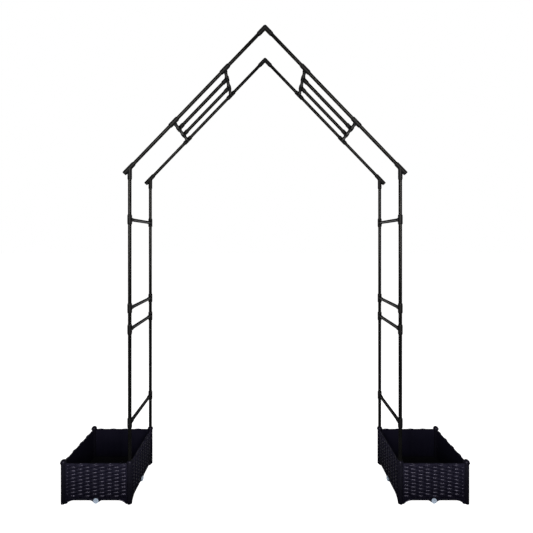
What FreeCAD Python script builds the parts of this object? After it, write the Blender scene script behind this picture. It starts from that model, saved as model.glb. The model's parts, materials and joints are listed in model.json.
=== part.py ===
# Garden trellis arch: a gabled tube arch that stands in the corner posts of two woven-look planters.
# Millimetres. X runs across the walk-through, Y from front to rear, Z up.
# The origin is on the ground, in the middle of the walk-through.
import FreeCAD, Part
import math
import os

V = FreeCAD.Vector
UP = V(0, 0, 1)
DOWN = V(0, 0, -1)
CLEAR = 1.0                # a cutting solid runs this far past what it cuts

# ---- tube ----
TUBE_D = 20.0              # outside of the plastic-coated steel tube
TUBE_WALL = 1.0
SOCKET_FIT = 0.1           # radial gap of a tube in its connector
END_GAP = 0.2              # gap between a tube's end and the stop in its socket

# ---- arch, measured between tube axes ----
LEG_SPAN = 1568.0          # left legs to right legs
FRAME_DEPTH = 384.0        # front frame to rear frame
EAVE_Z = 1943.0            # where a leg's axis meets its rafter's axis
ROOF_RISE = 815.0          # eave to apex
RUNG_Z = (466.0, 1007.0, 1130.0, 1644.0)
LOWER_BAR_X = 529.0        # lower roof crossbar, from the middle plane
UPPER_BAR_X = 233.0        # upper roof crossbar, from the middle plane
SLAT_Y = 64.0              # roof slats, each side of the middle of the depth

# ---- moulded connectors ----
SLEEVE_WALL = 3.2          # wall of a sleeve that the run passes along
BRANCH_WALL = 2.5          # wall of a branch socket
MOUTH_WALL = 1.7           # wall at a socket's mouth
TAPER = 9.0                # length over which a socket narrows to its mouth
ROOT_FILLET = 5.0          # blend between a sleeve and its branch
STOP_HALF = 3.0            # half of the web that stops the two run tubes
WEB = 1.9                  # least plastic between two bores that cross
LEG_TEE_HALF = 28.5        # half length of a tee on a leg
RAFTER_TEE_HALF = 33.0     # half length of a tee on a rafter
BAR_TEE_HALF = 28.0        # half length of a tee on a crossbar
BRANCH_LEN = 39.0          # a branch's mouth, from the run's axis
EAVE_UP = 36.0             # eave sleeve, up the rafter from the leg's axis
EAVE_STUB = 47.0           # eave sleeve, down past the leg's axis
EAVE_LEG = 67.0            # eave branch, down the leg
ELBOW_ARM = 57.0           # apex elbow, from its corner to a mouth

# ---- planter ----
PLANTER_PITCH = FRAME_DEPTH  # post to post: the legs stand in two of the posts
RIM_Z = 233.0
POST_WALL = 4.2
POST_FIT = 0.3             # radial gap of a leg or a cap's spigot in a post
SEAT_Z = 30.0              # the ledge in a post that a leg stands on
GROOVE_W = 3.2             # groove in a post for a panel's tongue
GROOVE_DEEP = 2.0
TONGUE_GAP = 0.3
TONGUE_ROOT = 1.0          # a tongue starts this far inside its panel
SNUG = 0.1                 # gap between a panel's end and its post

PANEL_IN = 2.0             # panel's edge strips, inwards from the post axes
STRIP_OUT = 7.0            # panel's edge strips, outwards from the post axes
BAND_OUT = 8.0             # bottom band, outwards
RIM_H = 9.0                # height of the solid top rim
STRIP_W = 11.0             # plain upright strip beside a post
SHEET_T = 3.0              # moulded wall of the woven field
VALLEY_OUT = 5.0           # woven field's valleys, outwards
CREST_OUT = 11.5           # woven field's crests, outwards
STAKES = 8                 # upright stakes that the strands bulge over
BAND_TOP = 38.0            # top of the plain bottom band
ARCH_Z = 22.0              # height of the two shallow arches under a panel
FOOT_W = 5.0               # width of the flat foot beside a post
ARCH_RUN = 49.0            # width of the curve from the foot up to the arch
FOOT_CURVE_X = 16.0        # a point on that curve: inwards from the foot
FOOT_CURVE_Z = 13.0        # and its height
BOSS_HALF = 24.0           # half width of the thick boss round the drain hole
FLARE_HALF = 35.0          # half width of the boss where it runs into the arches
BOSS_LOW = 9.0             # lowest point of the boss
BOSS_NECK = 18.0           # half width of the boss's round underside
NECK_RISE = 3.0            # rise of that underside from its lowest point to its ends
FLARE_BOW = 1.0            # bow of the curve between the boss and an arch

PLUG_Z = 20.0
PLUG_HEAD_R = 15.5
PLUG_HEAD_T = 4.0
PLUG_SHANK_R = 9.0
PLUG_FIT = 0.4
PLUG_GRIP_R = 6.5
PLUG_GRIP_T = 3.0
PLUG_REACH = 15.0          # shank length behind the head

LEDGE_T = 3.0              # ledge on a panel that carries the tray
LEDGE_DEEP = 9.0
LEDGE_INNER = 34.0         # the ledge stops here to clear the sump
LEDGE_END = 30.0           # from the ledge's end to the panel's end
TRAY_GAP = 1.0
TRAY_T = 2.5
TRAY_H = 20.0
SUMP_R = 14.0
SUMP_LEN = 44.0
NOTCH_GAP = 1.5            # tray corner to post

GRID_GAP = 3.0             # soil grid to panels
GRID_T = 3.0
GRID_REST = 0.3            # the grid lies this far over the tray's wall
GRID_CAP_GAP = 2.0         # corner notch, clear of the cap above it
GRID_RIB = 3.0
SLOT_L = 30.0
SLOT_W = 7.0
SLOT_PITCH_X = 42.0
SLOT_PITCH_Y = 20.0
SLOT_EDGE = 24.0           # plain edge round the slots

CAP_OVERHANG = 3.5         # cap past the post all round
CAP_LIP = 4.0
CAP_DOME = 16.0
CAP_REST = 0.3             # the cap lies this far over the post
SPIGOT_LEN = 14.0
SPIGOT_GAP = 0.4

# ---- worked out ----
TUBE_R = TUBE_D / 2
BORE_R = TUBE_R + SOCKET_FIT
SLEEVE_R = BORE_R + SLEEVE_WALL
BRANCH_R = BORE_R + BRANCH_WALL
MOUTH_R = BORE_R + MOUTH_WALL
POST_BORE_R = TUBE_R + POST_FIT
POST_R = POST_BORE_R + POST_WALL
CAP_R = POST_R + CAP_OVERHANG
CAP_BASE = RIM_Z + CAP_REST
LEG_X = LEG_SPAN / 2
FRAME_Y = FRAME_DEPTH / 2
APEX_Z = EAVE_Z + ROOF_RISE
PITCH_ANGLE = math.atan2(ROOF_RISE, LEG_X)
BRANCH_STOP = BORE_R + WEB
EAVE_LEG_STOP = (BORE_R * (1 + math.sin(PITCH_ANGLE)) + WEB) / math.cos(PITCH_ANGLE)
ELBOW_STOP = BORE_R + WEB
HALF = PLANTER_PITCH / 2
PLANTER_X = LEG_X + HALF
PANEL_END = HALF - POST_R + GROOVE_DEEP
FIELD_HALF = PANEL_END - STRIP_W
STAKE_PITCH = 2 * FIELD_HALF / STAKES
LEDGE_Z = ARCH_Z + LEDGE_T
TRAY_TOP = LEDGE_Z + TRAY_H
GRID_Z = TRAY_TOP + GRID_REST

SIDES = {"left": -1, "right": 1}
FRAMES = {"front": -1, "rear": 1}


def export(name, solids):
    """Write one node: a single solid, or a group of separate solids."""
    shape = solids[0] if len(solids) == 1 else Part.makeCompound(solids)
    shape.exportStep(os.path.join("parts", name + ".step"))


def box(x0, x1, y0, y1, z0, z1):
    return Part.makeBox(x1 - x0, y1 - y0, z1 - z0, V(x0, y0, z0))


def rod(start, end, radius):
    """A plain cylinder from one point to another."""
    return Part.makeCylinder(radius, (end - start).Length, start, end - start)


def tube(start, end):
    """A hollow tube whose ends are square."""
    return rod(start, end, TUBE_R).cut(rod(start, end, TUBE_R - TUBE_WALL))


def joined_tube(start, end, start_stop, end_stop):
    """The tube between two connectors, seated on the stops in their sockets."""
    along = (end - start).normalize()
    return tube(start + along * (start_stop + END_GAP), end - along * (end_stop + END_GAP))


def segments(centres, stops):
    """Tubes along a line of connectors; stops gives each connector's two stop distances."""
    pieces = []
    for i in range(len(centres) - 1):
        pieces.append(joined_tube(centres[i], centres[i + 1], stops[i][1], stops[i + 1][0]))
    return pieces


def mouth_ring(axis, length, radius):
    """The ring that is turned away so that a socket narrows to its mouth."""
    outer = radius + CLEAR
    points = [V(MOUTH_R, 0, length), V(radius, 0, length - TAPER), V(outer, 0, length - TAPER),
              V(outer, 0, length + CLEAR), V(MOUTH_R, 0, length + CLEAR), V(MOUTH_R, 0, length)]
    ring = Part.Face(Part.makePolygon(points)).revolve(V(0, 0, 0), UP, 360)
    ring.Placement = FreeCAD.Placement(V(0, 0, 0), FreeCAD.Rotation(UP, axis))
    return ring


def finish_sockets(body, arms):
    """Narrow each arm to its mouth and bore it; an arm is (axis, length, radius, stop)."""
    for axis, length, radius, stop in arms:
        body = body.cut(mouth_ring(axis, length, radius))
    for axis, length, radius, stop in arms:
        body = body.cut(rod(axis * stop, axis * (length + CLEAR), BORE_R))
    return body


def tee(centre, run, back, front, branch, branch_len, branch_stop, fillet=0):
    """A sleeve along run with one branch socket, with or without a fillet where they meet.

    It is made upright at the origin, its run along Z and its branch in the YZ plane, then placed.
    """
    lean = run.getAngle(branch)
    arm = V(0, math.sin(lean), math.cos(lean))
    sleeve = rod(UP * -back, UP * front, SLEEVE_R)
    body = sleeve.fuse(rod(V(0, 0, 0), arm * branch_len, BRANCH_R))
    if fillet:
        seam = [edge for edge in body.Edges if isinstance(edge.Curve, Part.BSplineCurve)]
        body = body.makeFillet(fillet, seam)
    arms = [(UP, front, SLEEVE_R, STOP_HALF), (DOWN, back, SLEEVE_R, STOP_HALF),
            (arm, branch_len, BRANCH_R, branch_stop)]
    body = finish_sockets(body, arms)
    out = branch - run * run.dot(branch)
    body.Placement = FreeCAD.Placement(centre, FreeCAD.Rotation(out.cross(run), out, run, "ZYX"))
    return body


def elbow(centre, first, second):
    """Two sockets that meet in a round corner."""
    body = Part.makeSphere(SLEEVE_R)
    for arm in (first, second):
        body = body.fuse(rod(V(0, 0, 0), arm * ELBOW_ARM, SLEEVE_R))
    body = finish_sockets(body, [(arm, ELBOW_ARM, SLEEVE_R, ELBOW_STOP) for arm in (first, second)])
    body.translate(centre)
    return body


# ---- arch ----

def rafter_point(side, distance_x, y):
    """The point of a rafter's plane at a distance from the middle plane."""
    return V(side * distance_x, y, APEX_Z - distance_x * math.tan(PITCH_ANGLE))


def up_slope(side):
    return V(-side * math.cos(PITCH_ANGLE), 0, math.sin(PITCH_ANGLE))


def leg(side, y):
    """One leg: tubes between the post's seat, four tees and the eave connector."""
    heights = (SEAT_Z + POST_FIT,) + RUNG_Z + (EAVE_Z,)
    centres = [V(side * LEG_X, y, z) for z in heights]
    stops = [(0, -END_GAP)] + [(STOP_HALF, STOP_HALF)] * len(RUNG_Z) + [(EAVE_LEG_STOP, 0)]
    return segments(centres, stops)


def leg_tees(side, y, inward):
    return [tee(V(side * LEG_X, y, z), UP, LEG_TEE_HALF, LEG_TEE_HALF, inward, BRANCH_LEN,
                BRANCH_STOP, ROOT_FILLET) for z in RUNG_Z]


def rungs(side):
    pieces = []
    for z in RUNG_Z:
        ends = V(side * LEG_X, -FRAME_Y, z), V(side * LEG_X, FRAME_Y, z)
        pieces.append(joined_tube(ends[0], ends[1], BRANCH_STOP, BRANCH_STOP))
    return pieces


def rafter(side, y):
    """One rafter: tubes between the eave connector, two tees and the apex elbow."""
    centres = [rafter_point(side, x, y) for x in (LEG_X, LOWER_BAR_X, UPPER_BAR_X, 0)]
    stops = [(0, STOP_HALF), (STOP_HALF, STOP_HALF), (STOP_HALF, STOP_HALF), (ELBOW_STOP, 0)]
    return segments(centres, stops)


def rafter_tees(side, y, inward):
    return [tee(rafter_point(side, x, y), up_slope(side), RAFTER_TEE_HALF, RAFTER_TEE_HALF,
                inward, BRANCH_LEN, BRANCH_STOP, ROOT_FILLET) for x in (LOWER_BAR_X, UPPER_BAR_X)]


def eave_connector(side, y):
    """A slanted tee: the rafter above, a leg below, and an open socket past the eave."""
    return tee(V(side * LEG_X, y, EAVE_Z), up_slope(side), EAVE_STUB, EAVE_UP, DOWN, EAVE_LEG,
               EAVE_LEG_STOP)


def crossbar(side, distance_x):
    """A crossbar: tubes between the two rafter tees and the two slat tees."""
    centres = [rafter_point(side, distance_x, y) for y in (-FRAME_Y, -SLAT_Y, SLAT_Y, FRAME_Y)]
    stops = [(0, BRANCH_STOP), (STOP_HALF, STOP_HALF), (STOP_HALF, STOP_HALF), (BRANCH_STOP, 0)]
    return segments(centres, stops)


def crossbar_tees(side, distance_x, toward):
    return [tee(rafter_point(side, distance_x, y), V(0, 1, 0), BAR_TEE_HALF, BAR_TEE_HALF,
                toward, BRANCH_LEN, BRANCH_STOP, ROOT_FILLET) for y in (-SLAT_Y, SLAT_Y)]


def slats(side):
    pieces = []
    for y in (-SLAT_Y, SLAT_Y):
        ends = rafter_point(side, LOWER_BAR_X, y), rafter_point(side, UPPER_BAR_X, y)
        pieces.append(joined_tube(ends[0], ends[1], BRANCH_STOP, BRANCH_STOP))
    return pieces


def export_arch():
    for side_name, side in SIDES.items():
        for frame_name, frame in FRAMES.items():
            y = frame * FRAME_Y
            inward = V(0, -frame, 0)
            place = frame_name + "_" + side_name
            export("leg_" + place, leg(side, y))
            export("leg_tees_" + place, leg_tees(side, y, inward))
            export("rafter_" + place, rafter(side, y))
            export("rafter_tees_" + place, rafter_tees(side, y, inward))
            export("eave_connector_" + place, [eave_connector(side, y)])
        bars = {"lower": (LOWER_BAR_X, up_slope(side)), "upper": (UPPER_BAR_X, up_slope(side) * -1)}
        slat_tees = []
        for bar_name, (distance_x, toward) in bars.items():
            export("crossbar_" + bar_name + "_" + side_name, crossbar(side, distance_x))
            slat_tees += crossbar_tees(side, distance_x, toward)
        export("slat_tees_" + side_name, slat_tees)
        export("rungs_" + side_name, rungs(side))
        export("roof_slats_" + side_name, slats(side))
    for frame_name, frame in FRAMES.items():
        apex = V(0, frame * FRAME_Y, APEX_Z)
        export("apex_elbow_" + frame_name, [elbow(apex, up_slope(-1) * -1, up_slope(1) * -1)])


# ---- planter, about its own middle; a panel is made at the front, facing -Y ----

def post(x, y):
    """A round corner post with a deep socket and a groove for each of its two panels."""
    solid = rod(V(x, y, 0), V(x, y, RIM_Z), POST_R)
    solid = solid.cut(rod(V(x, y, SEAT_Z), V(x, y, RIM_Z + CLEAR), POST_BORE_R))
    for turn in (0 if x < 0 else 180, 90 if y < 0 else -90):
        groove = box(POST_R - GROOVE_DEEP, POST_R + CLEAR, -GROOVE_W / 2, GROOVE_W / 2, BOSS_LOW,
                     RIM_Z + CLEAR)
        groove.rotate(V(0, 0, 0), UP, turn)
        groove.translate(V(x, y, 0))
        solid = solid.cut(groove)
    return solid


def corner_posts():
    return [post(x, y) for x in (-HALF, HALF) for y in (-HALF, HALF)]


def mirrored(point):
    return V(-point.x, point.y, point.z)


def under_edge():
    """The scalloped underside as a closed face in XZ: foot, arch, drain boss, arch, foot."""
    foot = V(PANEL_END - FOOT_W, 0, 0)
    curve = foot + V(-FOOT_CURVE_X, 0, FOOT_CURVE_Z)
    arch = V(foot.x - ARCH_RUN, 0, ARCH_Z)
    flare = V(FLARE_HALF, 0, ARCH_Z)
    neck = V(BOSS_NECK, 0, BOSS_LOW + NECK_RISE)
    flare_mid = V(BOSS_HALF, 0, (ARCH_Z + neck.z) / 2 + FLARE_BOW)
    low = V(0, 0, BOSS_LOW)
    edges = [Part.Arc(foot, curve, arch), Part.LineSegment(arch, flare), Part.Arc(flare, flare_mid, neck),
             Part.Arc(neck, low, mirrored(neck)),
             Part.Arc(mirrored(neck), mirrored(flare_mid), mirrored(flare)),
             Part.LineSegment(mirrored(flare), mirrored(arch)),
             Part.Arc(mirrored(arch), mirrored(curve), mirrored(foot))]
    below = DOWN * CLEAR
    closing = Part.makePolygon([mirrored(foot), mirrored(foot) + below, foot + below, foot]).Edges
    return Part.Face(Part.Wire([edge.toShape() for edge in edges] + closing))


def raised(edges, z0, z1):
    """A solid on a closed plan outline, from one height to another."""
    solid = Part.Face(Part.Wire(Part.__sortEdges__(edges))).extrude(V(0, 0, z1 - z0))
    solid.translate(V(0, 0, z0))
    return solid


def woven_field():
    """The woven field as a corrugated wall, one bulge over each stake, under a solid rim."""
    starts = [i * STAKE_PITCH - FIELD_HALF for i in range(STAKES)]
    front = [Part.Arc(V(u, -VALLEY_OUT, 0), V(u + STAKE_PITCH / 2, -CREST_OUT, 0),
                      V(u + STAKE_PITCH, -VALLEY_OUT, 0)).toShape() for u in starts]
    back = [edge.translated(V(0, SHEET_T, 0)) for edge in front]
    ends = [Part.makeLine(V(u, -VALLEY_OUT, 0), V(u, SHEET_T - VALLEY_OUT, 0))
            for u in (-FIELD_HALF, FIELD_HALF)]
    inside = Part.makePolygon([V(-FIELD_HALF, -VALLEY_OUT, 0), V(-FIELD_HALF, PANEL_IN, 0),
                               V(FIELD_HALF, PANEL_IN, 0), V(FIELD_HALF, -VALLEY_OUT, 0)]).Edges
    rim_low = RIM_Z - RIM_H
    return raised(front + back + ends, BAND_TOP, rim_low).fuse(raised(front + inside, rim_low, RIM_Z))


def panel():
    """One side panel: woven field, side strips, scalloped bottom band, drain boss."""
    end = PANEL_END
    solid = woven_field()
    solid = solid.fuse(box(-end, end, -BAND_OUT, -PANEL_IN, 0, BAND_TOP))
    for s in (-1, 1):
        strip = sorted((s * FIELD_HALF, s * end))
        solid = solid.fuse(box(strip[0], strip[1], -STRIP_OUT, PANEL_IN, 0, RIM_Z))
        ledge = sorted((s * LEDGE_INNER, s * (end - LEDGE_END)))
        solid = solid.fuse(box(ledge[0], ledge[1], -PANEL_IN, LEDGE_DEEP, ARCH_Z, LEDGE_Z))
    solid = solid.fuse(box(-BOSS_HALF, BOSS_HALF, -PANEL_IN, PANEL_IN, 0, BAND_TOP))
    notch = under_edge().extrude(V(0, 2 * CREST_OUT, 0))
    notch.translate(V(0, -CREST_OUT, 0))
    solid = solid.cut(notch)
    solid = solid.cut(rod(V(0, -CREST_OUT, PLUG_Z), V(0, CREST_OUT, PLUG_Z), PLUG_SHANK_R + PLUG_FIT))
    half_t = GROOVE_W / 2 - TONGUE_GAP
    for s in (-1, 1):
        post_room = rod(V(s * HALF, 0, -CLEAR), V(s * HALF, 0, RIM_Z + CLEAR), POST_R + SNUG)
        root = HALF - POST_R - TONGUE_ROOT
        tip = HALF - POST_R + GROOVE_DEEP - TONGUE_GAP
        tongue = sorted((s * root, s * tip))
        solid = solid.cut(post_room)
        solid = solid.fuse(box(tongue[0], tongue[1], -half_t, half_t, BOSS_LOW + TONGUE_GAP, RIM_Z))
    return solid.removeSplitter()


def drain_plug():
    """A push-in plug with a round head and a finger grip; its head lies on the drain boss."""
    face = -BAND_OUT - PLUG_FIT
    shank = rod(V(0, face + PLUG_REACH, PLUG_Z), V(0, face, PLUG_Z), PLUG_SHANK_R)
    head = rod(V(0, face, PLUG_Z), V(0, face - PLUG_HEAD_T, PLUG_Z), PLUG_HEAD_R)
    head = head.makeFillet(PLUG_HEAD_T / 3, [head.Edges[0], head.Edges[2]])
    grip = rod(V(0, face, PLUG_Z), V(0, face - PLUG_HEAD_T - PLUG_GRIP_T, PLUG_Z), PLUG_GRIP_R)
    return shank.fuse(head).fuse(grip).removeSplitter()


def to_side(shape, turn):
    """Carry a shape from the front of the planter, facing -Y, round to another side."""
    moved = shape.copy()
    moved.translate(V(0, -HALF, 0))
    moved.rotate(V(0, 0, 0), UP, turn)
    return moved


def corner_rods(radius, z0, z1):
    return [rod(V(x, y, z0), V(x, y, z1), radius) for x in (-HALF, HALF) for y in (-HALF, HALF)]


def water_tray():
    """A shallow tray on the panels' ledges, with a sump behind each drain hole."""
    edge = HALF - PANEL_IN - TRAY_GAP
    inner = edge - TRAY_T
    notch = POST_R + NOTCH_GAP
    shell = box(-edge, edge, -edge, edge, LEDGE_Z, TRAY_TOP)
    hollow = box(-inner, inner, -inner, inner, LEDGE_Z + TRAY_T, TRAY_TOP + CLEAR)
    for corner in corner_rods(notch, LEDGE_Z - CLEAR, TRAY_TOP + 2 * CLEAR):
        shell = shell.cut(corner)
    for corner in corner_rods(notch + TRAY_T, LEDGE_Z - CLEAR, TRAY_TOP + 2 * CLEAR):
        hollow = hollow.cut(corner)
    for turn in (0, 90, 180, 270):
        ends = V(0, -edge, PLUG_Z), V(0, SUMP_LEN - edge, PLUG_Z)
        sump = rod(ends[0], ends[1], SUMP_R)
        inside = rod(ends[0] + V(0, TRAY_T, 0), ends[1] - V(0, TRAY_T, 0), SUMP_R - TRAY_T)
        drain = rod(ends[0] - V(0, CLEAR, 0), ends[0] + V(0, 2 * TRAY_T, 0), PLUG_SHANK_R + PLUG_FIT)
        for piece in (sump, inside, drain):
            piece.rotate(V(0, 0, 0), UP, turn)
        shell = shell.fuse(sump)
        hollow = hollow.fuse(inside).fuse(drain)
    return shell.cut(hollow)


def spread(half, size, pitch):
    """Middles of an even number of slots, as many as fit inside plus and minus half."""
    pairs = int((half - size / 2) / pitch + 0.5)
    return [(i + 0.5) * pitch for i in range(-pairs, pairs)]


def soil_grid():
    """The slotted plate that keeps soil above the tray, on one long rib; it lifts out."""
    edge = HALF - PANEL_IN - GRID_GAP
    plate = box(-edge, edge, -edge, edge, GRID_Z, GRID_Z + GRID_T)
    foot = LEDGE_Z + TRAY_T + GRID_REST
    reach = edge - SUMP_LEN - GRID_RIB
    plate = plate.fuse(box(-reach, reach, -GRID_RIB / 2, GRID_RIB / 2, foot, GRID_Z))
    slots = [box(x - SLOT_L / 2, x + SLOT_L / 2, y - SLOT_W / 2, y + SLOT_W / 2, GRID_Z - CLEAR,
                 GRID_Z + GRID_T + CLEAR)
             for x in spread(edge - SLOT_EDGE, SLOT_L, SLOT_PITCH_X)
             for y in spread(edge - SLOT_EDGE, SLOT_W, SLOT_PITCH_Y) if abs(y) > GRID_RIB + SLOT_W / 2]
    plate = plate.cut(Part.makeCompound(slots))
    for corner in corner_rods(CAP_R + GRID_CAP_GAP, GRID_Z - CLEAR, GRID_Z + GRID_T + CLEAR):
        plate = plate.cut(corner)
    return plate


def dome(x, y):
    """The dome on a post's top: a lip and a slice of a ball."""
    lip_top = CAP_BASE + CAP_LIP
    ball_r = (CAP_R ** 2 + CAP_DOME ** 2) / (2 * CAP_DOME)
    ball = Part.makeSphere(ball_r, V(x, y, lip_top + CAP_DOME - ball_r))
    crown = ball.common(rod(V(x, y, lip_top), V(x, y, lip_top + CAP_DOME + CLEAR), CAP_R + CLEAR))
    return crown.fuse(rod(V(x, y, CAP_BASE), V(x, y, lip_top), CAP_R))


def post_cap(x, y):
    """The cap that closes a post with no leg in it: a dome on a spigot."""
    return dome(x, y).fuse(rod(V(x, y, CAP_BASE - SPIGOT_LEN), V(x, y, CAP_BASE), POST_BORE_R - SPIGOT_GAP))


def post_collar(x, y):
    """The same dome with a bore, for a post that a leg comes out of."""
    return dome(x, y).cut(rod(V(x, y, RIM_Z), V(x, y, CAP_BASE + CAP_LIP + CAP_DOME), POST_BORE_R))


def export_planter(side_name, side):
    """Panels and plugs are named by where they face; the inner side faces the walk-through."""
    centre = V(side * PLANTER_X, 0, 0)
    turns = {"front": 0, "rear": 180, "inner": -90 * side, "outer": 90 * side}
    for face, turn in turns.items():
        export(side_name + "_panel_" + face, [to_side(panel(), turn).translated(centre)])
        export(side_name + "_drain_plug_" + face, [to_side(drain_plug(), turn).translated(centre)])
    export(side_name + "_corner_posts", [solid.translated(centre) for solid in corner_posts()])
    export(side_name + "_water_tray", [water_tray().translated(centre)])
    export(side_name + "_soil_grid", [soil_grid().translated(centre)])
    for frame_name, frame in FRAMES.items():
        cap = post_cap(side * HALF, frame * HALF)
        export(side_name + "_post_cap_" + frame_name, [cap.translated(centre)])
    collars = [post_collar(-side * HALF, y).translated(centre) for y in (-HALF, HALF)]
    export(side_name + "_post_collars", collars)


def main():
    os.makedirs("parts", exist_ok=True)
    export_arch()
    for side_name, side in SIDES.items():
        export_planter(side_name, side)


main()
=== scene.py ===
"""Looks of a garden trellis arch in two woven-look planters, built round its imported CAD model.

Metres. X runs across the walk-through, Y from front to rear, Z up, and the ground is z = 0.
"""
import bpy
import json
import math
import numpy as np
from mathutils import Matrix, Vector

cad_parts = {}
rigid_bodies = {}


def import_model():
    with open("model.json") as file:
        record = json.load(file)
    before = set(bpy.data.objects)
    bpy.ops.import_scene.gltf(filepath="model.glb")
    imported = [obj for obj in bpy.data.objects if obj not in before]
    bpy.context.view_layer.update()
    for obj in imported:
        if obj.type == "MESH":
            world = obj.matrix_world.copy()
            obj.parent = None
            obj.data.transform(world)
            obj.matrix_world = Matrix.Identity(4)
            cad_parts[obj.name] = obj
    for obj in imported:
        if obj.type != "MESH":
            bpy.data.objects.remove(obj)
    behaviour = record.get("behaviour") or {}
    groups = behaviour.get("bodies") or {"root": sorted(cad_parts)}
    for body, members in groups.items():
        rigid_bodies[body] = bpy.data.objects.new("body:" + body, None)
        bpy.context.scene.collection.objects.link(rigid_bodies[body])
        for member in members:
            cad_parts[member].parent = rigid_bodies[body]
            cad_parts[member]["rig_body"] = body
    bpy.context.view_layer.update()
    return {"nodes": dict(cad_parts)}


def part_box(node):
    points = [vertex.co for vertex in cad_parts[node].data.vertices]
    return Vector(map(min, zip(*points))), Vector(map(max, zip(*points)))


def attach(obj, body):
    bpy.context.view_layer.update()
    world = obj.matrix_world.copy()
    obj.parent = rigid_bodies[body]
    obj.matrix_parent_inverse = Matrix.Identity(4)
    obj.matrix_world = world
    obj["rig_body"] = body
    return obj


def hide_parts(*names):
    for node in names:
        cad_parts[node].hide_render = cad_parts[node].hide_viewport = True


MM = 0.001
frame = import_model()

SIDES = ("left", "right")
ENDS = ("front", "rear")
FACES = ("front", "rear", "inner", "outer")


# ---- shader maths ----

class Wire:
    """A shader socket. Sums on it add Math nodes, so a mask can be written as an expression."""

    def __init__(self, tree, socket):
        self.tree = tree
        self.socket = socket

    def maths(self, operation, first, second=None):
        node = self.tree.nodes.new("ShaderNodeMath")
        node.operation = operation
        for place, value in enumerate((first, second)):
            if isinstance(value, Wire):
                self.tree.links.new(value.socket, node.inputs[place])
            elif value is not None:
                node.inputs[place].default_value = value
        return Wire(self.tree, node.outputs[0])

    def __add__(self, other):
        return self.maths("ADD", self, other)

    def __radd__(self, other):
        return self.maths("ADD", other, self)

    def __sub__(self, other):
        return self.maths("SUBTRACT", self, other)

    def __rsub__(self, other):
        return self.maths("SUBTRACT", other, self)

    def __mul__(self, other):
        return self.maths("MULTIPLY", self, other)

    def __rmul__(self, other):
        return self.maths("MULTIPLY", other, self)

    def clamp(self, low, high):
        return self.maths("MINIMUM", self.maths("MAXIMUM", self, low), high)


MIX_A, MIX_B, MIX_OUT = 6, 7, 2              # a Mix node's sockets for colours


class Finish:
    """A material and its node tree; node() adds any node from its type, settings and sockets."""

    def __init__(self, name):
        self.material = bpy.data.materials.new(name)
        self.material.use_nodes = True
        self.tree = self.material.node_tree
        self.shader = self.tree.nodes["Principled BSDF"]

    def node(self, kind, settings=None, sockets=None, out=0):
        made = self.tree.nodes.new(kind)
        for key, value in (settings or {}).items():
            setattr(made, key, value)
        for key, value in (sockets or {}).items():
            if isinstance(value, Wire):
                self.tree.links.new(value.socket, made.inputs[key])
            else:
                made.inputs[key].default_value = value
        return Wire(self.tree, made.outputs[out])

    def feed(self, **sockets):
        """Set or link the shader's own sockets; an underscore in a name stands for a space."""
        for key, value in sockets.items():
            socket = self.shader.inputs[key.replace("_", " ")]
            if isinstance(value, Wire):
                self.tree.links.new(value.socket, socket)
            else:
                socket.default_value = value

    def place(self):
        return self.node("ShaderNodeTexCoord", out="Object")

    def noise(self, scale, detail=3.0, vector=None):
        sockets = {"Vector": vector or self.place(), "Scale": scale, "Detail": detail, "Roughness": 0.5}
        return self.node("ShaderNodeTexNoise", None, sockets)

    def blend(self, mask, low, high):
        """A colour that goes from low to high as the mask goes from 0 to 1."""
        colours = {MIX_A: (*low, 1.0), MIX_B: (*high, 1.0)}
        return self.node("ShaderNodeMix", {"data_type": "RGBA"}, {"Factor": mask, **colours}, MIX_OUT)

    def bump(self, height, depth):
        """A normal from a height map; depth is the height in metres that a value of 1 stands for."""
        return self.node("ShaderNodeBump", None, {"Height": height, "Distance": depth, "Strength": 1.0})


# ---- finishes; noise scales are per metre, bump depths in metres ----

def coated_steel():
    """Black plastic coat on steel tube: a fine orange peel, faint dust and a satin shine."""
    f = Finish("coated_steel")
    peel = f.noise(700.0, 2.0)
    patch = f.noise(14.0, 4.0)
    dust = (patch * 1.6 - 0.45).clamp(0.0, 1.0)
    f.feed(Base_Color=f.blend(dust, (0.0022, 0.0022, 0.0022), (0.0052, 0.0050, 0.0048)),
           Roughness=0.20 + 0.06 * patch, Normal=f.bump(peel, 0.00004), Specular_IOR_Level=0.14,
           Specular_Tint=(1.0, 0.96, 0.88, 1.0))
    return f.material


def moulded_black():
    """Matt black moulded plastic with a fine spark-eroded grain."""
    f = Finish("moulded_black")
    grain = f.noise(1500.0, 2.0)
    patch = f.noise(30.0, 3.0)
    f.feed(Base_Color=f.blend(patch, (0.0020, 0.0020, 0.0024), (0.0046, 0.0045, 0.0050)),
           Roughness=0.46 + 0.12 * patch, Normal=f.bump(grain, 0.00005), Specular_IOR_Level=0.2,
           Specular_Tint=(1.0, 0.97, 0.90, 1.0))
    return f.material


PAINTED_SHADE_LOW = 0.03            # metres above the ground where the painted shade on the planters' plastic starts to lift
PAINTED_SHADE_RUN = 0.24            # metres from there to where the painted shade is gone


def planter_plastic(name, dark, pale, rough, shine):
    """Very dark blue-black moulded plastic with painted shade: near black at the foot, lighter toward the
    rim, with random patchy tone.
    """
    f = Finish(name)
    height = f.node("ShaderNodeSeparateXYZ", None, {"Vector": f.place()}, 2)
    grain = f.noise(1100.0, 2.0)
    patch = f.noise(9.0, 5.0)
    along_strands = (60.0, 60.0, 900.0)
    fibre_place = f.node("ShaderNodeMapping", None, {"Vector": f.place(), "Scale": along_strands})
    fibre = f.noise(1.0, 2.0, fibre_place)
    # painted shade: the base colour goes from dark at the foot to pale toward the rim by height, mixed
    # with random patchy tone
    painted_shade_and_tone = ((height - PAINTED_SHADE_LOW) * (1.0 / PAINTED_SHADE_RUN) + (patch - 0.5) * 0.5).clamp(0.0, 1.0)
    f.feed(Base_Color=f.blend(painted_shade_and_tone, dark, pale),
           Roughness=rough + 0.08 * patch + 0.04 * fibre,
           Normal=f.bump(grain + 2.0 * fibre, 0.00008),
           Specular_IOR_Level=shine, Specular_Tint=(0.84, 0.78, 1.0, 1.0))
    return f.material


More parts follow.
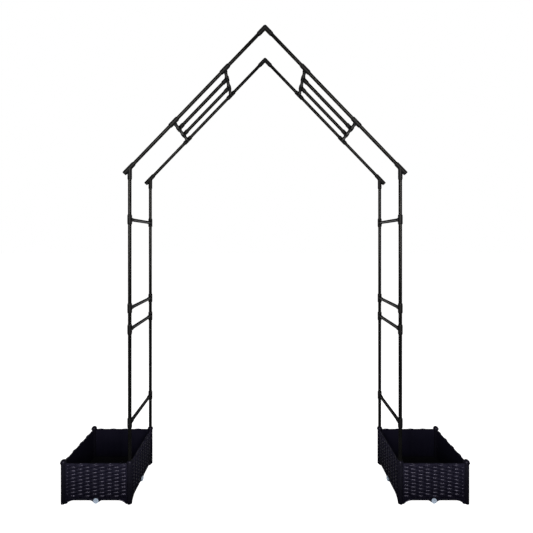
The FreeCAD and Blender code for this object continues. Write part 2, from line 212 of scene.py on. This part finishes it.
def inner_plastic():
    """Plain black plastic of the tray and the grid."""
    f = Finish("inner_plastic")
    patch = f.noise(18.0, 4.0)
    grain = f.noise(1200.0, 2.0)
    f.feed(Base_Color=f.blend(patch, (0.0010, 0.0010, 0.0018), (0.0022, 0.0022, 0.0036)),
           Roughness=0.6 + 0.15 * patch, Normal=f.bump(grain, 0.00006), Specular_IOR_Level=0.15)
    return f.material


def plug_plastic():
    """Pale grey-blue soft plastic of the drain plugs."""
    f = Finish("plug_plastic")
    patch = f.noise(120.0, 3.0)
    grain = f.noise(900.0, 2.0)
    f.feed(Base_Color=f.blend(patch, (0.25, 0.30, 0.37), (0.33, 0.39, 0.47)),
           Roughness=0.36 + 0.12 * patch, Normal=f.bump(grain, 0.00006))
    return f.material


# ---- surfaces, in millimetres until they are made into meshes ----

class Skin:
    """Points and faces gathered from several closed surfaces, then made into one mesh."""

    def __init__(self):
        self.points = []
        self.quads = []
        self.triangles = []
        self.count = 0

    def add(self, points, quads, triangles=None):
        self.points.append(points.reshape(-1, 3))
        self.quads.append(quads + self.count)
        if triangles is not None:
            self.triangles.append(triangles + self.count)
        self.count += self.points[-1].shape[0]

    def make(self, node, material, sharp=35.0):
        """The piece that stands for a CAD node, smooth except at edges sharper than the angle."""
        mesh = bpy.data.meshes.new(node + "_look")
        quads = np.concatenate(self.quads)
        triangles = np.concatenate(self.triangles) if self.triangles else np.zeros((0, 3), int)
        points = np.concatenate(self.points) * MM
        corners = np.concatenate((quads.ravel(), triangles.ravel()))
        sizes = np.concatenate((np.full(len(quads), 4), np.full(len(triangles), 3)))
        starts = np.concatenate(((0,), np.cumsum(sizes)[:-1]))
        mesh.vertices.add(len(points))
        mesh.vertices.foreach_set("co", points.astype(np.float32).ravel())
        mesh.loops.add(len(corners))
        mesh.loops.foreach_set("vertex_index", corners.astype(np.int32))
        mesh.polygons.add(len(sizes))
        mesh.polygons.foreach_set("loop_start", starts.astype(np.int32))
        mesh.polygons.foreach_set("use_smooth", np.ones(len(sizes), bool))
        mesh.update(calc_edges=True)
        mesh.validate()
        mesh.set_sharp_from_angle(angle=math.radians(sharp))
        mesh.materials.append(material)
        piece = bpy.data.objects.new(node + "_look", mesh)
        bpy.context.scene.collection.objects.link(piece)
        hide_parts(node)
        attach(piece, frame["nodes"][node]["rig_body"])
        return piece


def quads_of(rows, columns, wrap_rows=False, wrap_columns=False):
    """Quads of a grid that is numbered row by row; a wrapped side joins back to its start."""
    r = np.arange(rows if wrap_rows else rows - 1)
    c = np.arange(columns if wrap_columns else columns - 1)
    r, c = (a.ravel() for a in np.meshgrid(r, c, indexing="ij"))
    r2, c2 = (r + 1) % rows, (c + 1) % columns
    return np.stack((r * columns + c, r * columns + c2, r2 * columns + c2, r2 * columns + c), axis=1)


def fan(rim, pole):
    """Triangles from each edge of a ring of point numbers to one pole."""
    after = np.roll(rim, -1)
    return np.stack((rim, after, np.full(len(rim), pole)), axis=1)


def unit(vector):
    """The vector over its length."""
    vector = np.asarray(vector, float)
    return vector / np.linalg.norm(vector)


def basis(axis, hint=(0.0, 0.0, 1.0)):
    """Two directions square to the axis, so that first, second, axis are right-handed."""
    axis = unit(axis)
    hint = np.asarray(hint, float)
    if abs(axis @ hint) > 0.95:
        hint = np.array((0.0, 1.0, 0.0))
    first = unit(np.cross(hint, axis))
    return first, np.cross(axis, first), axis


def ring_angles(count):
    """Equal steps once round, from 0 up to but not including 2 pi."""
    return np.arange(count) * 2 * math.pi / count


def turned(skin, centre, axis, profile, count=48, ripple=None):
    """A closed surface of revolution: profile is a list of (distance along the axis, radius).

    A point is centre + distance * axis + radius * (cos a, sin a) across it; ripple(distance, radius,
    angle) scales the radius. A profile that starts and ends on the axis is closed there with fans,
    and any other profile is a loop. It runs so that its inside lies on its right.
    """
    profile = np.asarray(profile, float)
    first, second, axis = basis(axis)
    angle = ring_angles(count)
    poles = profile[0, 1] == 0
    rings = profile[1:-1] if poles else profile
    distance, radius = rings[:, :1], rings[:, 1:]
    scale = ripple(distance, radius, angle[None, :]) if ripple else np.ones((1, count))
    across = np.cos(angle)[:, None] * first + np.sin(angle)[:, None] * second
    points = np.asarray(centre) + distance[..., None] * axis + (radius * scale)[..., None] * across
    quads = quads_of(len(rings), count, wrap_rows=not poles, wrap_columns=True)
    if not poles:
        skin.add(points, quads)
        return
    ends = np.asarray(centre) + profile[(0, -1), :1] * axis
    total = len(rings) * count
    low = fan(np.arange(count)[::-1], total)
    high = fan(np.arange(total - count, total), total + 1)
    skin.add(np.concatenate((points.reshape(-1, 3), ends)), quads, np.concatenate((low, high)))


def rounded(corners, radius, steps, closed=True):
    """A line of points whose corners are replaced by quadratic curves; it is a loop when closed."""
    corners = np.asarray(corners, float)
    t = np.linspace(0, 1, steps)[:, None]
    out = []
    for i, here in enumerate(corners):
        if not closed and i in (0, len(corners) - 1):
            out.append(here[None])
            continue
        before, after = corners[i - 1], corners[(i + 1) % len(corners)]
        start = here + unit(before - here) * min(radius, 0.49 * np.linalg.norm(before - here))
        end = here + unit(after - here) * min(radius, 0.49 * np.linalg.norm(after - here))
        out.append((1 - t) ** 2 * start + 2 * t * (1 - t) * here + t ** 2 * end)
    return np.concatenate(out)


def lofted(skin, rows):
    """A closed bar through equal rings of points (stations, ring, 3), with a fan at each end."""
    rows = np.asarray(rows, float)
    middle = rows[(0, -1), :].mean(axis=1)
    count = rows.shape[1]
    total = rows.shape[0] * count
    low = fan(np.arange(count)[::-1], total)
    high = fan(np.arange(total - count, total), total + 1)
    points = np.concatenate((rows.reshape(-1, 3), middle))
    skin.add(points, quads_of(len(rows), count, wrap_columns=True), np.concatenate((low, high)))


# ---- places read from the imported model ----

def corners_of(node):
    """The low and the high corner of a node's packed box, in millimetres."""
    low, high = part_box(node)
    return np.array(low) / MM, np.array(high) / MM


def middle_of(node):
    """The middle of that box."""
    low, high = corners_of(node)
    return (low + high) / 2


def centres_of(node, axis, gap=40.0):
    """Box centres of a node's separate solids, told apart by gaps along one axis, lowest first."""
    mesh = frame["nodes"][node].data
    points = np.zeros(len(mesh.vertices) * 3)
    mesh.vertices.foreach_get("co", points)
    points = points.reshape(-1, 3) / MM
    points = points[np.argsort(points[:, axis])]
    breaks = np.nonzero(np.diff(points[:, axis]) > gap)[0] + 1
    return [(group.min(axis=0) + group.max(axis=0)) / 2 for group in np.split(points, breaks)]


# ---- moulded connectors, in millimetres ----

BORE = 10.1                # radius of a socket
SLEEVE = 13.3              # outside radius of a sleeve
BRANCH = 12.6              # outside radius of a branch
MOUTH = 11.8               # outside radius at a mouth
TAPER = 9.0                # how far before its mouth a socket tapers
LIP = 0.7                  # rounding of a mouth's edge
WEB = 3.0                  # half the thickness of the web that two tubes meet
LEG_TEE = 28.5             # from a tee's middle to each mouth of its sleeve
RAFTER_TEE = 33.0
SLAT_TEE = 28.0
BRANCH_LEN = 39.0          # from the sleeve's axis to the branch's mouth
TEE_FLARE = (8.5, 0.3, 8.5)          # a root's spread along the run, across it, and its rise
EAVE_DOWN = 47.0           # from the leg's axis to the open socket's mouth, down the slope
EAVE_UP = 36.0             # and to the rafter's
EAVE_LEG = 67.0            # and to the leg's
EAVE_FLARE = (4.0, 0.3, 7.0)
ELBOW_ARM = 57.0           # from the apex to an elbow's mouth
ELBOW_STOP = 12.0          # from the apex to the end of its bore


def socket_mouth(length, radius):
    """Half a sleeve's profile: the outside out to the mouth, round the lip, back into the bore."""
    inside = [(length, MOUTH), (length, BORE), (length - TAPER, BORE)]
    outside = [(length - TAPER - 3, radius), (length - TAPER * 0.6, radius)]
    line = rounded(outside + inside, 3.0, 5, closed=False)[:7]
    lip = rounded([line[-1]] + inside, LIP, 4, closed=False)
    return np.concatenate((line[:-1], lip))


def sleeve(skin, centre, axis, back, front):
    """A socketed sleeve with a web in its middle, as one profile from pole to pole."""
    ahead = socket_mouth(front, SLEEVE)
    behind = socket_mouth(back, SLEEVE)[::-1] * (-1, 1)
    profile = np.concatenate(([(-WEB, 0), (-WEB, BORE)], behind, ahead, [(WEB, BORE), (WEB, 0)]))
    turned(skin, centre, axis, profile)


def branch(skin, centre, run, out, length, flare_along, flare_across, rise, count=48):
    """A branch socket whose root flares into a sleeve of radius R about the run.

    With c = run . out, s = sin of the angle between them and a = the angle round the branch from the
    run, a generator at radius r leaves the sleeve at h(r, a) = (c r cos a + sqrt(R^2 - r^2 sin^2 a)) / s.
    The root is the quadratic curve from (r + F, h) by (r, h) to (r, h + rise), F going from
    flare_along at a = 0 to flare_across at a = 90 degrees.
    """
    run, out = unit(run), unit(out)
    c = run @ out
    s = math.sqrt(1 - c * c)
    first = (run - c * out) / s
    second = np.cross(out, first)
    a = ring_angles(count)[None, :]
    flare = flare_across + (flare_along - flare_across) * np.cos(a) ** 2

    def leaves(radius):
        depth = np.sqrt(np.maximum(SLEEVE ** 2 - (radius * np.sin(a)) ** 2, 0.0))
        return (c * radius * np.cos(a) + depth) / s

    t = np.linspace(0, 1, 9)[:, None]
    foot_r, foot_h = BRANCH + flare, leaves(BRANCH + flare) - 0.15
    corner_h = leaves(BRANCH)
    radius = (1 - t) ** 2 * foot_r + 2 * t * (1 - t) * BRANCH + t ** 2 * BRANCH
    height = (1 - t) ** 2 * foot_h + 2 * t * (1 - t) * corner_h + t ** 2 * (corner_h + rise)
    mouth = socket_mouth(length, BRANCH)
    radius = np.concatenate((radius, mouth[:, 1:] * np.ones_like(a), BORE * np.ones_like(a)))
    height = np.concatenate((height, mouth[:, :1] * np.ones_like(a), leaves(BORE) - 0.8))
    across = np.cos(a)[..., None] * first + np.sin(a)[..., None] * second
    points = centre + height[..., None] * out + radius[..., None] * across
    skin.add(points, quads_of(len(radius), count, wrap_rows=True, wrap_columns=True))


def connectors(black):
    """Every tee, eave connector and elbow, placed on the axes of the tubes it joins."""
    for side in SIDES:
        for end in ENDS:
            place = end + "_" + side
            leg_x, leg_y = middle_of("leg_" + place)[:2]
            inward = np.array((0.0, -np.sign(leg_y), 0.0))
            skin = Skin()
            for spot in centres_of("leg_tees_" + place, 2):
                centre = np.array((leg_x, leg_y, spot[2]))
                sleeve(skin, centre, (0, 0, 1), LEG_TEE, LEG_TEE)
                branch(skin, centre, (0, 0, 1), inward, BRANCH_LEN, *TEE_FLARE)
            skin.make("leg_tees_" + place, black)
            low, high = centres_of("rafter_tees_" + place, 2)
            low[1] = high[1] = leg_y
            up = unit(high - low)
            skin = Skin()
            for centre in (low, high):
                sleeve(skin, centre, up, RAFTER_TEE, RAFTER_TEE)
                branch(skin, centre, up, inward, BRANCH_LEN, *TEE_FLARE)
            skin.make("rafter_tees_" + place, black)
            eave = low + up * (leg_x - low[0]) / up[0]
            skin = Skin()
            sleeve(skin, eave, up, EAVE_DOWN, EAVE_UP)
            branch(skin, eave, up, (0, 0, -1), EAVE_LEG, *EAVE_FLARE)
            skin.make("eave_connector_" + place, black)
        slats = centres_of("roof_slats_" + side, 1)
        skin = Skin()
        for bar, way in (("lower", 1), ("upper", -1)):
            bar_x, _, bar_z = middle_of("crossbar_" + bar + "_" + side)
            for spot in slats:
                centre = np.array((bar_x, spot[1], bar_z))
                sleeve(skin, centre, (0, 1, 0), SLAT_TEE, SLAT_TEE)
                branch(skin, centre, (0, 1, 0), up * way, BRANCH_LEN, *TEE_FLARE)
        skin.make("slat_tees_" + side, black)
    apex = low - up * low[0] / up[0]            # the last rafter's axis, carried on to x = 0
    for end in ENDS:
        centre = np.array((0.0, middle_of("leg_" + end + "_left")[1], apex[2]))
        skin = Skin()
        bend = np.linspace(0, math.pi, 25)
        ball = np.stack((-SLEEVE * np.cos(bend), SLEEVE * np.abs(np.sin(bend))), axis=1)
        ball[(0, -1), 1] = 0
        turned(skin, centre, (0, 1, 0), ball)
        for way in (-1, 1):
            mouth = socket_mouth(ELBOW_ARM, SLEEVE)
            stop = [(ELBOW_STOP, BORE), (ELBOW_STOP, 0)]
            profile = np.concatenate(([(0, 0), (0, SLEEVE - 0.1)], mouth, stop))
            turned(skin, centre, (way * up[0], 0, -up[2]), profile)
        skin.make("apex_elbow_" + end, black)


# ---- planters, in millimetres ----

POST = 14.5                # radius of a corner post
POST_BORE = 10.3           # radius of the socket down it
POST_SEAT = 30.0           # height of the seat at the socket's end
CAP_BASE = 233.3           # height of a cap's underside
FIELD_HALF = 168.5         # from a panel's middle to the end of its woven face
PANEL_END = 178.6          # and to the panel's own end
BAND_TOP = 38.0            # height where the woven face starts
RIM_LOW = 224.0            # and where it ends under the rim
RIM_TOP = 233.0
STAKES = 8
STRANDS = 18
STAKE_PITCH = 2 * FIELD_HALF / STAKES
STRAND_PITCH = (RIM_LOW - BAND_TOP) / STRANDS
EDGE_CANES = (2.7, 7.6)    # the two canes beyond each end of the woven face
LEDGE = (34.0, 149.5)      # a ledge's two ends, from the panel's middle
LEDGE_Z = (22.0, 25.0)     # its underside and top
HOLE_R = 9.4
HOLE_Z = 20.0
BOSS_HALF = 24.0
BOSS_EDGE = 18.0           # how far from the middle the boss's round lower edge goes
NECK_EDGE = 35.0           # and the curve from there up to the raised edge
ARCH_END = 125.5           # and the raised edge
FOOT = 174.5               # and the foot
EDGE_Z = 22.0              # height of the raised edge
PLUG_FACE = 8.4            # how far out of its panel a plug's head starts


def arc_height(u, start, through, end):
    """Height at u of the circle arc through three points (the upper side if it bulges up)."""
    (x1, z1), (x2, z2), (x3, z3) = start, through, end
    system = 2 * np.array(((x2 - x1, z2 - z1), (x3 - x1, z3 - z1)))
    squares = (x2 ** 2 - x1 ** 2 + z2 ** 2 - z1 ** 2, x3 ** 2 - x1 ** 2 + z3 ** 2 - z1 ** 2)
    centre = np.linalg.solve(system, squares)
    radius = math.hypot(x1 - centre[0], z1 - centre[1])
    way = 1.0 if z2 > centre[1] else -1.0
    return centre[1] + way * np.sqrt(np.maximum(radius ** 2 - (u - centre[0]) ** 2, 0.0))


def underside(u):
    """Height of a panel's lower edge: flat foot, arc up to a shallow arch, down round the boss."""
    u = np.abs(u)
    foot = arc_height(u, (FOOT, 0), (FOOT - 16, 13), (ARCH_END, EDGE_Z))
    neck = arc_height(u, (NECK_EDGE, EDGE_Z), (24, 18), (BOSS_EDGE, 12))
    boss = arc_height(u, (BOSS_EDGE, 12), (0, 9), (-BOSS_EDGE, 12))
    stretches = [u < BOSS_EDGE, u < NECK_EDGE, u < ARCH_END, u < FOOT]
    return np.select(stretches, [boss, neck, EDGE_Z, foot], 0.0)


def weave(u, z):
    """Height of the woven front at (u, z): the highest of the strands, the stakes and the ground.

    x = u in stake pitches. The ground is at 2, and a stake rises from it by 4.2 sqrt(1 - v^2), v being
    the distance from its middle over 5.5. Strand k runs at height z_k with w = cos(pi (x + k)), so it
    passes over every second stake. Its middle is at 7.2 + 4.3 w, its half height a = p (0.5 +
    0.28 max(w, 0)), and it falls away by R (1 - sqrt(1 - ((z - z_k) / a)^2)) with
    R = 3.2 + 1.3 max(w, 0).
    """
    x = (u + FIELD_HALF) / STAKE_PITCH - 0.5
    from_stake = (x - np.round(x)) * STAKE_PITCH / 5.5
    height = np.maximum(2.0, 2.0 + 4.2 * np.sqrt(np.maximum(1 - from_stake ** 2, 0.0))) + 0 * z
    for k in range(STRANDS):
        w = np.cos(math.pi * (x + k))
        over = np.maximum(w, 0.0)
        off = (z - BAND_TOP - (k + 0.5) * STRAND_PITCH) / (STRAND_PITCH * (0.5 + 0.28 * over))
        round_off = (3.2 + 1.3 * over) * (1 - np.sqrt(np.maximum(1 - off ** 2, 0.0)))
        height = np.where(np.abs(off) < 1, np.maximum(height, 7.2 + 4.3 * w - round_off), height)
    return height


def plate(skin, place, u, z, height, back):
    """A closed plate whose front is a height field over the grid (z rows, u columns), back flat."""
    uu, zz = np.meshgrid(u, z)
    front = place(uu, height, zz)
    number = np.arange(front.shape[0] * front.shape[1]).reshape(front.shape[:2])
    rim = np.concatenate((number[0, :-1], number[:-1, -1], number[-1, :0:-1], number[:0:-1, 0]))
    edge_u, edge_z = uu.ravel()[rim], zz.ravel()[rim]
    total = number.size
    skirt = place(edge_u, np.full(len(rim), back), edge_z)
    pole = place(np.array([u.mean()]), np.array([back]), np.array([z.mean()]))
    ring = np.arange(total, total + len(rim))
    wall = np.stack((np.roll(rim, -1), rim, ring, np.roll(ring, -1)), axis=1)
    skin.add(np.concatenate((front.reshape(-1, 3), skirt, pole)),
             np.concatenate((quads_of(*front.shape[:2]), wall)), fan(ring[::-1], total + len(rim)))


def bar(skin, place, outline, u):
    """A straight bar along u: outline is a closed loop of (n, z)."""
    outline = np.asarray(outline, float)
    lofted(skin, [place(np.full(len(outline), s), outline[:, 0], outline[:, 1]) for s in u])


def block(skin, place, u0, u1, n0, n1, z0, z1, radius=1.0):
    """A bar whose outline is a rectangle with its corners rounded."""
    bar(skin, place, rounded([(n0, z0), (n0, z1), (n1, z1), (n1, z0)], radius, 3), (u0, u1))


def panel(skin, place):
    """One side of a planter; place(u, n, z) sets a point from its width, outward and up distances.

    Its inside is a height field too: it ripples by 0.35 cos(2 pi u / stake pitch) about 1.
    """
    u = np.linspace(-FIELD_HALF - 1, FIELD_HALF + 1, 161)
    z = np.linspace(BAND_TOP - 1, RIM_LOW + 1, 219)
    plate(skin, place, u, z, weave(u[None, :], z[:, None]), 1.4)
    u = np.linspace(-FIELD_HALF - 1, FIELD_HALF + 1, 81)
    z = np.linspace(BAND_TOP - 1, RIM_LOW + 1, 13)
    inside = 1.0 + 0.35 * np.cos(2 * math.pi * u / STAKE_PITCH)[None, :] + 0 * z[:, None]
    plate(skin, lambda a, n, h: place(a, -n, h), u[::-1], z, inside, -1.45)
    rim(skin, place)
    band(skin, place)
    boss(skin, place)
    for way in (-1, 1):
        inner, outer = sorted((way * FIELD_HALF, way * PANEL_END))
        block(skin, place, inner, outer, -2, 5, 0, RIM_LOW + 2)
        for across in EDGE_CANES:
            middle = place(np.array(way * (FIELD_HALF + across)), np.array(4.6), np.array(0.0))
            cane(skin, middle, 2.5, BAND_TOP - 2, RIM_LOW + 1)
        inner, outer = sorted((way * LEDGE[0], way * LEDGE[1]))
        block(skin, place, inner, outer, -9, 3, *LEDGE_Z, 0.6)


def rim(skin, place):
    """The top rim: its outer edge is at 6.6 + 5 max(w, 0)^0.8, w being that of the strand under it."""
    u = np.linspace(-PANEL_END, PANEL_END, 121)
    x = (u + FIELD_HALF) / STAKE_PITCH - 0.5
    w = np.where(np.abs(u) < FIELD_HALF, np.cos(math.pi * (x + STRANDS - 1)), -0.5)
    out = 6.6 + 5.0 * np.maximum(w, 0.0) ** 0.8
    low, top = RIM_LOW - 1, RIM_TOP
    rows = []
    for s, edge in zip(u, out):
        outline = rounded([(-2, low), (-2, top), (edge - 1.2, top), (edge, low)], 2.6, 5)
        rows.append(place(np.full(len(outline), s), outline[:, 0], outline[:, 1]))
    lofted(skin, rows)


def cane(skin, foot, radius, z0, z1):
    """An upright cane with a bead on every strand pitch: r = radius (1 + 0.16 cos(2 pi z / p))."""
    z = np.linspace(z0, z1, int((z1 - z0) / STRAND_PITCH * 8))
    beads = radius * (1 + 0.16 * np.cos(2 * math.pi * (z - BAND_TOP) / STRAND_PITCH))
    profile = np.concatenate(([(z0, 0)], np.stack((z, beads), axis=1), [(z1, 0)]))
    turned(skin, foot, (0, 0, 1), profile, 12)


def band(skin, place):
    """The plain bottom band each side of the boss: its lower edge is a bead on the scalloped line.

    A row of shape is (n, share, offset): the point lies offset above the place that is this share of
    the way from the lower edge up to the band's top.
    """
    shape = [(2.0, 0.0, 1.2), (2.6, 0.0, 0.3), (5.0, 0.0, 0.0), (8.2, 0.0, 0.0), (9.2, 0.0, 1.0),
             (9.2, 0.0, 3.2), (8.4, 0.0, 4.4), (7.6, 0.0, 5.0), (7.4, 1.0, -4.5), (7.8, 1.0, -3.6),
             (8.2, 1.0, -1.6), (7.6, 1.0, 0.0), (2.0, 1.0, 0.0)]
    n, share, offset = np.array(shape).T
    for way in (-1, 1):
        u = way * np.concatenate((np.linspace(BOSS_HALF - 1, 36, 12), np.linspace(40, ARCH_END, 12),
                                  np.linspace(ARCH_END + 1, FOOT, 30), (PANEL_END - 2, PANEL_END)))
        rows = []
        for s in (u if way > 0 else u[::-1]):
            low = underside(np.array(s))
            rows.append(place(np.full(len(n), s), n, low + (BAND_TOP - low) * share + offset))
        lofted(skin, [row[::-1] for row in rows])


def boss(skin, place):
    """The boss round the open drain hole: rings that go from the hole's circle to its outline."""
    a = ring_angles(96)
    reach = np.linspace(HOLE_R, 40, 400)[:, None]
    u, z = reach * np.cos(a), HOLE_Z + reach * np.sin(a)
    inside = (np.abs(u) < BOSS_HALF) & (z < BAND_TOP) & (z > underside(u))
    outer = reach[np.maximum(np.argmin(inside, axis=0) - 1, 0), 0]
    steps = [(0.0, -2.0), (0.0, 6.6), (0.04, 7.4), (0.12, 8.0),
             (0.9, 8.2), (0.97, 7.8), (1.0, 7.0), (1.0, -2.0)]
    rows = []
    for share, n in steps:
        r = HOLE_R + (outer - HOLE_R) * share
        rows.append(place(r * np.cos(a), np.full(len(a), n), HOLE_Z + r * np.sin(a)))
    skin.add(np.stack(rows[::-1]), quads_of(len(rows), len(a), wrap_rows=True, wrap_columns=True))


def drain_plug(skin, place):
    """A push-in plug: shank, a stepped domed head with a ring recess, and a round grip."""
    shank = [(-15, 0), (-15, 8.2), (-14, 8.8), (-0.2, 9.0), (0, 9.2)]
    head = [(0, 14.8), (0.5, 15.4), (2.0, 15.5), (3.0, 15.1), (3.7, 14.2), (4.0, 12.6), (3.9, 11.0)]
    recess = [(3.2, 10.0), (2.9, 9.0), (3.2, 7.6), (4.4, 6.9)]
    grip = [(6.0, 6.5), (6.7, 5.9), (7.0, 4.8), (7.0, 3.0), (6.6, 1.8), (6.5, 0)]
    profile = np.array(shank + head + recess + grip) + (PLUG_FACE, 0)
    foot = place(np.array(0.0), np.array(0.0), np.array(HOLE_Z))
    tip = place(np.array(0.0), np.array(1.0), np.array(HOLE_Z))
    turned(skin, foot, tip - foot, profile, 64)


def flutes(distance, radius, angle):
    """Scale of a post's radius: eight shallow canes round it, with a bead on every strand pitch.

    With v from -1 to 1 across a cane, and z from the band's top, it is
    1 - 0.11 (1 - sqrt(1 - 0.98 v^2)) - 0.025 (1 - cos(2 pi z / p)). The bore and the foot keep 1.
    """
    across = (angle * 4 / math.pi) % 1.0 * 2 - 1
    dip = 0.11 * (1 - np.sqrt(1 - 0.98 * across ** 2))
    beads = 0.025 * (1 - np.cos(2 * math.pi * (distance - BAND_TOP) / STRAND_PITCH))
    outside = (radius > POST_BORE + 1) & (distance > 4)
    return np.where(outside, 1 - dip - beads, 1.0)


def corner_posts(side, plastic):
    """Four fluted posts with a socket down the middle, on the corners of the planter."""
    low, high = corners_of(side + "_corner_posts")
    z = np.linspace(3, high[2] - 2, 120)
    shaft = np.stack((z, np.full(len(z), POST)), axis=1)
    top = high[2]
    profile = np.concatenate(([(0, 0), (0, POST - 1.2), (0.8, POST - 0.3)], shaft,
                              [(top - 0.9, POST - 0.4), (top, POST - 1.4), (top, POST_BORE + 0.8),
                               (top - 0.8, POST_BORE), (POST_SEAT, POST_BORE), (POST_SEAT, 0)]))
    skin = Skin()
    for x in (low[0] + POST, high[0] - POST):
        for y in (low[1] + POST, high[1] - POST):
            turned(skin, (x, y, 0), (0, 0, 1), profile, 64, flutes)
    skin.make(side + "_corner_posts", plastic)


def dome_line(base, top, radius):
    """Profile of a cap from its lip to its crown: a lip, a groove over it and a quarter ellipse."""
    bend = np.linspace(math.radians(6), math.pi / 2, 18)
    height = base + 4.0 + (top - base - 4.0) * np.sin(bend)
    crown = np.stack((height, (radius - 0.6) * np.cos(bend)), axis=1)
    lip = [(base, radius - 0.5), (base + 0.5, radius), (base + 3.0, radius), (base + 3.6, radius - 0.4),
           (base + 3.9, radius - 1.1), (base + 4.4, radius - 1.2)]
    return np.concatenate((lip, crown))


def caps(side, plastic):
    """Two closed caps on spigots, and two collars: the same dome, cut off round the leg's bore."""
    for end in ENDS:
        node = side + "_post_cap_" + end
        low, high = corners_of(node)
        middle = middle_of(node)
        line = dome_line(CAP_BASE, high[2], (high[0] - low[0]) / 2)
        line[-1, 1] = 0
        spigot = [(low[2], 0), (low[2], 8.9), (low[2] + 1, 9.9), (CAP_BASE, 9.9)]
        skin = Skin()
        turned(skin, (middle[0], middle[1], 0), (0, 0, 1), np.concatenate((spigot, line)), 64)
        skin.make(node, plastic)
    cap_low, cap_high = corners_of(side + "_post_cap_front")
    low, high = corners_of(side + "_post_collars")
    radius = (high[0] - low[0]) / 2
    line = dome_line(CAP_BASE, cap_high[2], radius)
    line = line[line[:, 1] > POST_BORE + 0.6]
    top = line[-1, 0]
    bore = [(top + 0.3, POST_BORE + 0.3), (top, POST_BORE), (CAP_BASE, POST_BORE)]
    skin = Skin()
    for y in (low[1] + radius, high[1] - radius):
        turned(skin, ((low[0] + high[0]) / 2, y, 0), (0, 0, 1), np.concatenate((line, bore)), 64)
    skin.make(side + "_post_collars", plastic)


def planters(plastic, post_plastic, plug_finish):
    """The two planters' posts, caps, collars, and four panels each with its drain plug."""
    for side, way in zip(SIDES, (-1, 1)):
        corner_posts(side, post_plastic)
        low, high = corners_of(side + "_corner_posts")
        centre = (low + high) / 2
        half = (high[0] - low[0]) / 2 - POST
        for face, turn in zip(FACES, (0, 180, -90 * way, 90 * way)):
            cos, sin = round(math.cos(math.radians(turn))), round(math.sin(math.radians(turn)))

            def place(u, n, z):
                out = -(half + n)
                x = centre[0] + cos * u - sin * out
                y = centre[1] + sin * u + cos * out
                return np.stack((x, y, z + 0 * u), axis=-1)

            skin = Skin()
            panel(skin, place)
            skin.make(side + "_panel_" + face, plastic)
            skin = Skin()
            drain_plug(skin, place)
            skin.make(side + "_drain_plug_" + face, plug_finish)
        caps(side, post_plastic)


# ---- camera and studio, in metres ----

LENS = 24.86               # millimetres, for a sensor of this width
SENSOR = 36.0
CAMERA_PLACE = (0.0, -2.325, 1.520)
SHIFT = (0.0028, -0.048)
ROOM_LIGHT = 0.03          # the backdrop as a light, against 1 as it is seen
FLOOR_GLOW = 1.0
FLOOR_HALF = 40.0          # metres
KEY_POWER = 44.0           # watts
BACK_POWER = 7.0


def camera():
    """A level camera in front of the middle of the arch."""
    data = bpy.data.cameras.new("camera")
    data.lens = LENS
    data.sensor_width = SENSOR
    data.shift_x, data.shift_y = SHIFT
    made = bpy.data.objects.new("camera", data)
    made.location = CAMERA_PLACE
    made.rotation_euler = (math.radians(90), 0, 0)
    bpy.context.scene.collection.objects.link(made)
    bpy.context.scene.camera = made


def area_light(name, place, target, size, power):
    """A rectangular light at a place in metres, facing its target."""
    data = bpy.data.lights.new(name, "AREA")
    data.shape = "RECTANGLE"
    data.size, data.size_y = size
    data.energy = power
    made = bpy.data.objects.new(name, data)
    made.location = place
    first, second, back = basis(np.asarray(place, float) - np.asarray(target, float))
    made.rotation_euler = Matrix(np.stack((first, second, back), axis=1).tolist()).to_euler()
    bpy.context.scene.collection.objects.link(made)


def studio():
    """A large pale floor and a white backdrop, two tall lights in front and a weak one behind."""
    world = bpy.data.worlds.new("room")
    world.use_nodes = True
    bpy.context.scene.world = world
    tree = world.node_tree
    seen = tree.nodes.new("ShaderNodeLightPath").outputs["Is Camera Ray"]
    level = Wire(tree, seen) * (1.0 - ROOM_LIGHT) + ROOM_LIGHT
    tree.links.new(level.socket, tree.nodes["Background"].inputs["Strength"])
    tree.nodes["Background"].inputs["Color"].default_value = (1.0, 1.0, 1.0, 1.0)
    far = FLOOR_HALF
    mesh = bpy.data.meshes.new("floor")
    mesh.from_pydata([(-far, -far, 0), (far, -far, 0), (far, far, 0), (-far, far, 0)], [], [(0, 1, 2, 3)])
    floor = bpy.data.objects.new("floor", mesh)
    bpy.context.scene.collection.objects.link(floor)
    floor.visible_glossy = False
    f = Finish("floor")
    f.feed(Base_Color=f.blend(f.noise(0.8), (0.90, 0.90, 0.90), (0.93, 0.93, 0.93)), Roughness=0.9,
           Emission_Color=(1.0, 1.0, 1.0, 1.0), Emission_Strength=FLOOR_GLOW)
    mesh.materials.append(f.material)
    for way in (-1, 1):
        area_light("key", (way * 0.6, -2.7, 2.0), (way * 0.8, 0.0, 0.9), (0.4, 1.6), KEY_POWER)
    area_light("back_light", (0.0, 3.4, 1.3), (0.0, 0.0, 0.6), (2.4, 1.0), BACK_POWER)
    bpy.context.scene.view_settings.view_transform = "Standard"


# ---- build ----

tube_finish = coated_steel()
connector_finish = moulded_black()
# dark and pale are the colours of the painted shade at the foot and toward the rim
planter_finish = planter_plastic("planter_plastic", dark=(0.0014, 0.0012, 0.0040),
                                 pale=(0.0110, 0.0100, 0.0205), rough=0.25, shine=0.5)
post_finish = planter_plastic("post_plastic", dark=(0.0012, 0.0011, 0.0026),
                              pale=(0.0060, 0.0056, 0.0105), rough=0.34, shine=0.25)
tray_finish = inner_plastic()
plug_finish = plug_plastic()

for name, node in frame["nodes"].items():
    if name.endswith(("water_tray", "soil_grid")):
        finish = tray_finish
    elif "plug" in name:
        finish = plug_finish
    elif "panel" in name:
        finish = planter_finish
    elif "post" in name:
        finish = post_finish
    elif "tees" in name or "connector" in name or "elbow" in name:
        finish = connector_finish
    else:
        finish = tube_finish
    for slot in node.material_slots:
        slot.material = finish

connectors(connector_finish)
planters(planter_finish, post_finish, plug_finish)
camera()
studio()
